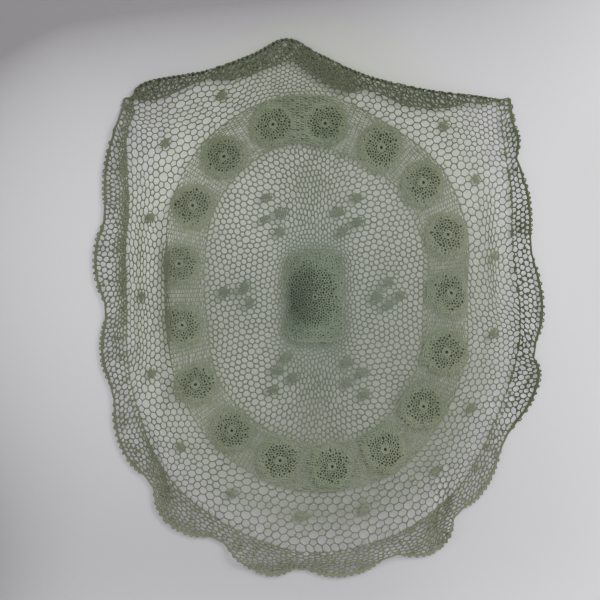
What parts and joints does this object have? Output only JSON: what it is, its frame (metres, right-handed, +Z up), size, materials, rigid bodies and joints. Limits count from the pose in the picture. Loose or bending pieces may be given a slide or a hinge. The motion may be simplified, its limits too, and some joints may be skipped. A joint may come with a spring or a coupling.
{
  "type": "crochet tablecloth",
  "caption": "Oval openwork crochet tablecloth in sage green, hung from its upper edge, with a dense middle, net, a ring of rosettes and a scalloped border.",
  "frame": {"origin": "the middle hang point of the upper edge, on the wall plane behind the cloth", "axes": "+Z up the hanging cloth, -Y out of its front, +X to the right seen from the front"},
  "size_m": [0.9024, 0.0256, 1.0764],
  "materials": {
    "yarn": "matt crochet cotton"
  },
  "bodies": {
    "root": {"tablecloth": "yarn"}
  },
  "joints": []
}
